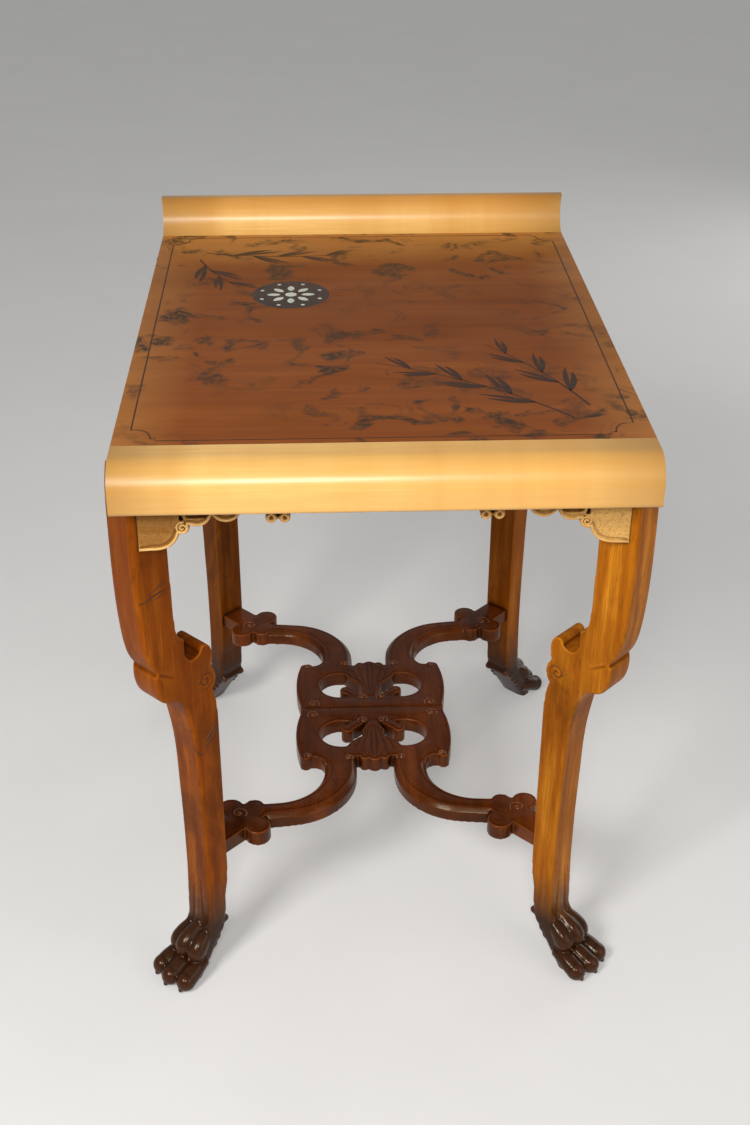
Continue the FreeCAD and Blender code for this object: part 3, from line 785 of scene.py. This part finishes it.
def add_pad(work):
    """The ankle and the pad, with a ring of corners at each section."""
    rings = []
    for z, front, back, half, round_share in pad_sections:
        ring = []
        for i in range(pad_corners):
            turn = 2 * math.pi * i / pad_corners
            across, aside = math.cos(turn), math.sin(turn)
            u = (front + back) / 2 + (back - front) / 2 * math.copysign(abs(across) ** round_share, across)
            v = half * math.copysign(abs(aside) ** round_share, aside)
            ring.append(work.verts.new((u * mm, v * mm, z * mm)))
        rings.append(ring)
    for first, second in zip(rings, rings[1:]):
        for i in range(pad_corners):
            following = (i + 1) % pad_corners
            work.faces.new((first[i], second[i], second[following], first[following]))
    work.faces.new(rings[0])
    work.faces.new(list(reversed(rings[-1])))


def on_side(points, side):
    return [(u, v * side, z, radius) for u, v, z, radius in points]


def on_lane(points, lane, side_fall=0):
    """The form of a toe moved to its lane."""
    back = side_toe_back * abs(lane)
    fall = side_fall * abs(lane)
    return [(u + back, v, z - fall, radius) for u, v, z, radius in on_side(points, lane)]


def paw_forms():
    """The roll and locks of the heel, then the knuckle, toe and claw of each lane."""
    heel_roll = list(half_heel_roll) + on_side(reversed(half_heel_roll), -1)
    forms = [heel_roll, on_side(heel_lock, -1), on_side(heel_lock, 1)]
    for lane in lanes:
        forms += [on_lane(knuckle, lane, side_knuckle_fall), on_lane(toe, lane), on_lane(claw, lane)]
    return forms


def tip_places():
    """Middles of the round ends of the toes."""
    u, v, z = toe_tip
    return in_metres([(u + side_toe_back * abs(lane), v * lane, z) for lane in lanes])


def leg_scroll(face):
    """The incised line of a leg's scroll on one face: a spiral eye."""
    flat = spiral(leg_eye_inner, leg_eye_outer, leg_eye_turns, math.pi / 2, -1)
    return [(leg_eye_u + x, face * leg_half_thickness, leg_eye_z + z, leg_eye_cut) for x, z in flat]


def ankle_groove(side):
    """One of the twin grooves that run up the ankle from between two knuckles."""
    line = ((60, 9.4, 60, 1.2), (60, 8.6, 74, 2.2), (60, 7.2, 104, 2), (60, 6, 136, 1.1))
    return smooth_path(in_metres(on_side(line, side)), 24)


def cross_line(u, z, cut, steps):
    """A level line across a leg, so many steps to each side of its middle."""
    path = []
    for step in range(-steps, steps + 1):
        path.append((u, step * leg_half_thickness / half_thickness_steps, z, cut))
    return path


def hip_crease(face):
    """The end of the hip's groove on one face of a leg, running out inwards and down."""
    line = ((5, -1, 1.8), (10, -4, 2.4), (16, -8, 2.0), (23, -12.5, 1.1))
    points = [(hip_u + u * mm, face * leg_half_thickness, hip_z + z * mm, cut * mm) for u, z, cut in line]
    return smooth_path(points, 12)


def carved_leg():
    """The CAD leg above the ankle and a finer paw under it, as one skin with its carved lines."""
    work = welded("front_right_leg")
    bmesh.ops.transform(work, matrix=leg_place(1, -1).inverted(), verts=work.verts)
    whole = work.verts[:] + work.edges[:] + work.faces[:]
    bmesh.ops.bisect_plane(work, geom=whole, plane_co=(0, 0, paw_joint), plane_no=(0, 0, 1),
                           clear_inner=True)
    bmesh.ops.holes_fill(work, edges=[edge for edge in work.edges if edge.is_boundary])
    add_pad(work)
    for form in paw_forms():
        add_tube(work, smooth_path(in_metres(form), 6), 16)
    for place in tip_places():
        add_ball(work, place, tip_radii, 24)
    mesh = skinned("carved_leg", work, leg_voxel, rounds=3)
    soften(mesh, ankle_band, rounds=8)
    soften(mesh, knuckle_band, rounds=6)
    inward = (1, 0, 0)
    outward = (-1, 0, 0)
    for face in (-1, 1):
        engrave(mesh, [leg_scroll(face), hip_crease(face)], (0, face, 0), leg_line_depth)
    engrave(mesh, [cross_line(hip_u, hip_z, hip_cut, hip_steps)], outward, hip_depth)
    engrave(mesh, [ankle_groove(side) for side in (-1, 1)], outward, leg_line_depth)
    engrave(mesh, [cross_line(waist_u, waist_z, waist_cut, half_thickness_steps)], inward, waist_depth)
    return lightened("carved_leg", mesh, leg_keep)


leg_mesh = carved_leg()
for end, end_name in ((-1, "front"), (1, "rear")):
    for side, side_name in ((-1, "left"), (1, "right")):
        corner_name = end_name + "_" + side_name
        mesh = leg_mesh.copy()
        mesh.transform(leg_place(side, end))
        placed(corner_name + "_leg_carved", mesh, leg_woods[corner_name], "leg_wood", corner_name + "_leg")


# Painted shade as dark lines in the carved scrolls of all legs, and a few worn marks on the left one

def add_on_leg(work, path, side, end):
    """A thin line along a path in a leg's own frame, at its corner of the table."""
    fresh = bmesh.new()
    add_tube(fresh, path, 6)
    bmesh.ops.transform(fresh, matrix=leg_place(side, end), verts=fresh.verts)
    spare = new_mesh("spare", fresh)
    work.from_mesh(spare)
    bpy.data.meshes.remove(spare)


def leg_mark(points, radius):
    """A worn line on a leg's face from points in millimetres inward and up, thin at both ends."""
    flat = smooth_path(points, 6)
    path = []
    for i, (u, z) in enumerate(flat):
        swell = mark_end_share + math.sin(math.pi * i / (len(flat) - 1))
        path.append((u * mm, -leg_half_thickness, z * mm, radius * swell))
    return path


left_leg_marks = (
    ([(2, 560), (10, 559.5), (20, 562), (31, 563.5), (42, 563)], 0.62 * mm),
    ([(14, 566), (24, 568.5), (33, 572), (43, 571)], 0.44 * mm),
    ([(22, 556), (32, 559), (41, 558)], 0.38 * mm),
    ([(75, 334), (82, 342), (91, 349), (98, 358)], 0.56 * mm),
    ([(78, 346), (87, 354.5), (97, 364)], 0.44 * mm),
    ([(58, 362), (62, 342), (68, 331), (77, 329.5), (87, 337)], 0.34 * mm),
)
line_work = bmesh.new()
for end in (-1, 1):
    for side in (-1, 1):
        for face in (-1, 1):
            # each scroll's dark line lies in the bottom of its carved groove, as painted shade
            bottom = face * (leg_half_thickness - groove_shade_sink)
            path = [(u, bottom, z, groove_shade_radius) for u, _, z, _ in leg_scroll(face)]
            add_on_leg(line_work, path, side, end)
for points, radius in left_leg_marks:
    add_on_leg(line_work, leg_mark(points, radius), -1, -1)
placed("leg_groove_shade_and_marks", new_mesh("leg_groove_shade_and_marks", line_work), line_dark, "leg_wood")


# Aprons

apron_faces = {
    "front_apron": (0, -1, 0),
    "rear_apron": (0, 1, 0),
    "left_apron": (-1, 0, 0),
    "right_apron": (1, 0, 0),
}
rim_inset = 2.2 * mm
rim_radius = 1.5 * mm
rim_sides = 8
groove_inset = 5.4 * mm
groove_radius = 2.1 * mm
groove_depth = 0.6
top_margin = 8 * mm
end_margin = 1.5 * mm
apron_scroll_z = 648 * mm
apron_scroll_margin = 46 * mm
apron_scroll_inner = 0.8 * mm
apron_scroll_outer = 6.6 * mm
apron_scroll_turns = 1.8
apron_scroll_radius = 1.1 * mm


def along_apron(point, way):
    return point.x if way[0] == 0 else point.y


def apron_reach(rings, way):
    """Half the length of an apron's outer face."""
    return max(abs(along_apron(point, way)) for ring in rings for point in ring)


def apron_stretches(rings, way, distance):
    """The outlines of an apron moved inwards, short of its top edge and its ends."""
    top = apron_top - top_margin
    reach = apron_reach(rings, way) - end_margin

    def shows(point):
        return point.z < top and abs(along_apron(point, way)) < reach

    return [stretch for ring in rings for stretch in runs(inset(ring, way, distance), shows)]


def add_apron_scrolls(work, rings, way):
    """A small raised scroll near each end of an apron."""
    out = Vector(way)
    upright = Vector((0, 0, 1))
    sideways = upright.cross(out)
    plane = max(point.dot(out) for ring in rings for point in ring)
    reach = apron_reach(rings, way) - apron_scroll_margin
    for side in (-1, 1):
        centre = out * plane + sideways * side * reach + upright * apron_scroll_z
        flat = spiral(apron_scroll_inner, apron_scroll_outer, apron_scroll_turns, 0, side)
        path = [(*(centre + sideways * x + upright * z), apron_scroll_radius) for x, z in flat]
        add_tube(work, path, rim_sides)


apron_rings = {name: face_loops(name, way) for name, way in apron_faces.items()}
rim_work = bmesh.new()
for name, way in apron_faces.items():
    for stretch in apron_stretches(apron_rings[name], way, rim_inset):
        add_tube(rim_work, [(*point, rim_radius) for point in stretch], rim_sides)
    add_apron_scrolls(rim_work, apron_rings[name], way)
placed("apron_rims", new_mesh("apron_rims", rim_work), rim_wood, "apron_wood")

for name, way in apron_faces.items():
    stretches = apron_stretches(apron_rings[name], way, groove_inset)
    grooves = [groove(stretch, groove_radius) for stretch in stretches]
    mesh = skinned(name + "_carved", welded(name), apron_voxel, rounds=2)
    engrave(mesh, grooves, way, groove_depth)
    mesh = lightened(name + "_carved", mesh, apron_keep)
    placed(name + "_carved", mesh, apron_wood if way[0] == 0 else side_apron_wood, "apron_wood", name)


# Stretcher

edge_inset = 3 * mm
edge_radius = 1.6 * mm
edge_depth = 0.55
vein_depth = 0.65

# Veins of the leaf as x, y and radius in millimetres
leaf_veins = (
    ((2.2, 40, 1.4), (3, 60, 2), (3.6, 84, 2.2), (2.6, 104, 1.6)),
    ((6, 44, 1.2), (9, 60, 1.7), (13, 78, 1.7), (15, 96, 1.2)),
    ((10, 48, 1), (15, 60, 1.4), (21, 76, 1.4), (25, 90, 1)),
)

# Raised scrolls as x, y and size in millimetres, and the way they turn
stretcher_eyes = ((13, 27, 7, 1), (79, 12, 8, 1), (34, 107, 6, -1), (171, 212, 10, -1), (86, 101, 5, 1))
eye_inner = 0.8 * mm
eye_turns = 1.35
eye_radius = 1.3 * mm
eye_sink = 0.2 * mm
button_radii = (2.2 * mm, 2.2 * mm, 1.8 * mm)


def leaf_vein(points, end, side):
    line = [(side * x, end * y, 0, radius) for x, y, radius in points]
    return [(x, y, stretcher_top, radius) for x, y, _, radius in smooth_path(in_metres(line), 24)]


def add_eye(work, x, y, size, way):
    """A raised scroll on the stretcher, with a button in its middle."""
    flat = spiral(eye_inner, size, eye_turns, math.pi / 2, way)
    add_tube(work, [(x + a, y + b, stretcher_top - eye_sink, eye_radius) for a, b in flat], 8)
    add_ball(work, (x, y, stretcher_top), button_radii, 12)


upward = (0, 0, 1)
for end, name in ((-1, "stretcher_front_half"), (1, "stretcher_rear_half")):
    mesh = skinned(name + "_carved", welded(name), stretcher_voxel, rounds=3)
    rings = [inset(ring, upward, edge_inset) for ring in face_loops(name, upward)]
    # Each edge line stays open between its last point and its first
    edges = [groove(ring, edge_radius) for ring in rings]
    engrave(mesh, edges, upward, edge_depth)
    veins = [leaf_vein(points, end, side) for points in leaf_veins for side in (-1, 1)]
    engrave(mesh, veins, upward, vein_depth)
    mesh = lightened(name + "_carved", mesh, stretcher_keep)
    placed(name + "_carved", mesh, stretcher_wood, "stretcher_wood", name)

eye_work = bmesh.new()
for end in (-1, 1):
    for side in (-1, 1):
        for x, y, size, way in stretcher_eyes:
            add_eye(eye_work, side * x * mm, end * y * mm, size * mm, side * end * way)
placed("stretcher_scrolls", new_mesh("stretcher_scrolls", eye_work), scroll_wood, "stretcher_wood")


# Dark lines on the flat of the top: a border with hollow corners, and reed sprays

border_left = -253 * mm
border_right = 253 * mm
border_front = -302 * mm
border_rear = 322 * mm
border_notch = 26 * mm
border_step = border_notch / 5
border_width = 1.5 * mm
corner_steps = 8
line_lift = 0.15 * mm

# Reeds: x and y in millimetres, heading in degrees, length in millimetres, bend, leaf pairs, first side
reeds = (
    (196, -262, 128, 250, 0.5, 6, 1),
    (216, -232, 108, 190, 0.35, 5, -1),
    (-208, 262, -18, 190, 0.5, 5, 1),
    (-214, 236, -74, 120, 0.4, 4, -1),
)
stem_root = 2.6 * mm
stem_taper = 1.6 * mm
first_joint = 5

# The two leaves of a pair: turn away from the stem, length in millimetres, bend, width in millimetres
leaf_pair = ((0.75, 52, -0.35, 7), (0.3, 64, 0.25, 6))
leaf_shrink = 0.35
leaf_start = 0.04
leaf_span = 0.95


def add_ribbon(work, path, width):
    """A flat line lying just on the top, its width a function of the share of the way along it."""
    rows = []
    for i, (x, y) in enumerate(path):
        before = path[max(i - 1, 0)]
        after = path[min(i + 1, len(path) - 1)]
        ahead = Vector((after[0] - before[0], after[1] - before[1], 0)).normalized()
        aside = Vector((-ahead.y, ahead.x, 0))
        half = width(i / (len(path) - 1)) / 2
        middle = Vector((x, y, top_height + line_lift))
        rows.append((work.verts.new(middle + aside * half), work.verts.new(middle - aside * half)))
    for first, second in zip(rows, rows[1:]):
        work.faces.new((first[1], second[1], second[0], first[0]))


def border_corner(x, y, way_x, way_y):
    """A hollow corner of the border with a small step at each end."""
    inner = border_notch - border_step
    hollow = border_notch - 2 * border_step
    offsets = [(0, border_notch), (border_step, border_notch)]
    for i in range(corner_steps + 1):
        turn = math.pi / 2 * i / corner_steps
        offsets.append((border_step + hollow * math.sin(turn), border_notch - inner * (1 - math.cos(turn))))
    offsets += [(inner, border_step), (border_notch, border_step), (border_notch, 0)]
    return [(x + way_x * a, y + way_y * b) for a, b in offsets]


def border_line():
    corners = (
        border_corner(border_left, border_front, 1, 1),
        border_corner(border_right, border_front, -1, 1)[::-1],
        border_corner(border_right, border_rear, -1, -1),
        border_corner(border_left, border_rear, 1, -1)[::-1],
    )
    path = [point for corner in corners for point in corner]
    return path + path[:1]


def bent(start, turn, length, bend, count):
    """Flat points of a line that leaves a place at an angle and bends evenly."""
    x, y = start
    points = [(x, y)]
    for _ in range(count):
        turn += bend / count
        x += length / count * math.cos(turn)
        y += length / count * math.sin(turn)
        points.append((x, y))
    return points


def add_leaf(work, start, turn, length, bend, width):
    """A slim leaf, pointed at both ends."""
    def swell(share):
        return width * math.sin(math.pi * (leaf_start + leaf_span * share))

    add_ribbon(work, bent(start, turn, length, bend, 12), swell)


def add_reed(work, start, turn, length, bend, pairs, way):
    """A stem with pairs of slim leaves, smaller and smaller, on either side in turn."""
    stem = bent(start, turn, length, bend, 24)
    add_ribbon(work, stem, lambda share: stem_root - stem_taper * share)
    for i in range(pairs):
        spot = first_joint + i * (len(stem) - first_joint - 1) // pairs
        ahead = math.atan2(stem[spot][1] - stem[spot - 1][1], stem[spot][0] - stem[spot - 1][0])
        side = way if i % 2 == 0 else -way
        size = (1 - leaf_shrink * i / pairs) * mm
        for leaf_turn, leaf_length, leaf_bend, leaf_width in leaf_pair:
            heading = ahead + side * leaf_turn
            add_leaf(work, stem[spot], heading, leaf_length * size, side * leaf_bend, leaf_width * size)


top_line_work = bmesh.new()
add_ribbon(top_line_work, border_line(), lambda share: border_width)
for x, y, heading, length, bend, pairs, way in reeds:
    add_reed(top_line_work, (x * mm, y * mm), math.radians(heading), length * mm, bend, pairs, way)
placed("top_border_line", new_mesh("top_border_line", top_line_work), line_dark, "top_wood")


# Finishes on the pieces that keep their CAD shape

kept_finishes = {
    "top_panel": top_wood,
    "front_roll": roll_wood,
    "rear_roll": roll_wood,
    "front_tongue": hidden_wood,
    "rear_tongue": hidden_wood,
    "stretcher_middle_dowels": hidden_wood,
    "stretcher_leg_dowels": hidden_wood,
    "apron_dowels": hidden_wood,
    "glue_blocks": hidden_wood,
    "top_screws": screw_steel,
    "inlay_ground": inlay_dark,
    "inlay_pearls": pearl_shell,
}
for name, material in kept_finishes.items():
    slots = nodes[name].material_slots
    for slot in slots:
        slot.material = material
    if not slots:
        nodes[name].data.materials.append(material)


# Floor and surroundings, with half the floor's side in metres

floor_half = 15
floor_glow = 0.3
pale_grey = tone(206, 206, 206)
surround_light = 0.32
surround_shown = 0.5


def floor_finish():
    """A plain pale floor that glows a little to the camera."""
    finish = Finish("floor_paint")
    cloud = finish.noise(finish.place, 3, 4, 0.6)
    colour = finish.ramp(cloud, paint_stops, (tone(208, 206, 202), tone(212, 210, 206)))
    glow = finish.math("MULTIPLY", finish.shown(), floor_glow)
    finish.cover({"Base Color": colour, "Roughness": 0.8})
    finish.cover({"Emission Color": pale_grey, "Emission Strength": glow})
    return finish.material


floor_work = bmesh.new()
bmesh.ops.create_grid(floor_work, x_segments=1, y_segments=1, size=floor_half)
floor = added("floor", new_mesh("floor", floor_work))
floor.data.materials.append(floor_finish())

world = bpy.data.worlds.new("studio")
bpy.context.scene.world = world
world.use_nodes = True
background = world.node_tree.nodes["Background"]
surround = Shader(world.node_tree)
surround.give(pale_grey, background.inputs["Color"])
strength = surround.span(surround.shown(), (0, 1), (surround_light, surround_shown))
surround.give(strength, background.inputs["Strength"])


# Lamps, with places and sizes in metres and power in watts

def lamp(name, place, target, size, power):
    light = bpy.data.lights.new(name, "AREA")
    light.size = size
    light.energy = power
    made = added(name, light)
    made.location = place
    made.rotation_euler = (Vector(target) - Vector(place)).to_track_quat("-Z", "Y").to_euler()


lamp("key", (-1.3, -1.9, 2.1), (0, 0, 0.45), size=0.8, power=52)
lamp("front", (-0.14, -2.2, 1.9), (0, -0.2, 0.55), size=0.4, power=20)
lamp("fill", (1.9, -1.6, 1.2), (0, 0, 0.4), size=2.0, power=16)
lamp("back", (2.2, 2.0, 0.9), (0, 0.2, 0.4), size=1.6, power=14)


# Camera, with angles in radians, lens and sensor in millimetres

camera_place = Vector((-66.4, -1645.0, 1375.7)) * mm
camera_yaw = 0.0425
camera_pitch = 0.5308
camera_roll = 0.0035
camera_lens = 48.0
camera_sensor = 36.0


def camera_turn():
    """The camera's axes as a matrix, from its yaw, its pitch downwards and its roll."""
    level = math.cos(camera_pitch)
    ahead = Vector((math.sin(camera_yaw) * level, math.cos(camera_yaw) * level, -math.sin(camera_pitch)))
    right = Vector((math.cos(camera_yaw), -math.sin(camera_yaw), 0))
    above = right.cross(ahead)
    rolled_right = right * math.cos(camera_roll) + above * math.sin(camera_roll)
    rolled_above = above * math.cos(camera_roll) - right * math.sin(camera_roll)
    return Matrix((rolled_right, rolled_above, -ahead)).transposed().to_4x4()


camera = bpy.data.cameras.new("camera")
camera.lens = camera_lens
camera.sensor_width = camera_sensor
camera_object = added("camera", camera)
camera_object.matrix_world = Matrix.Translation(camera_place) @ camera_turn()
bpy.context.scene.camera = camera_object
bpy.context.scene.view_settings.view_transform = "Standard"
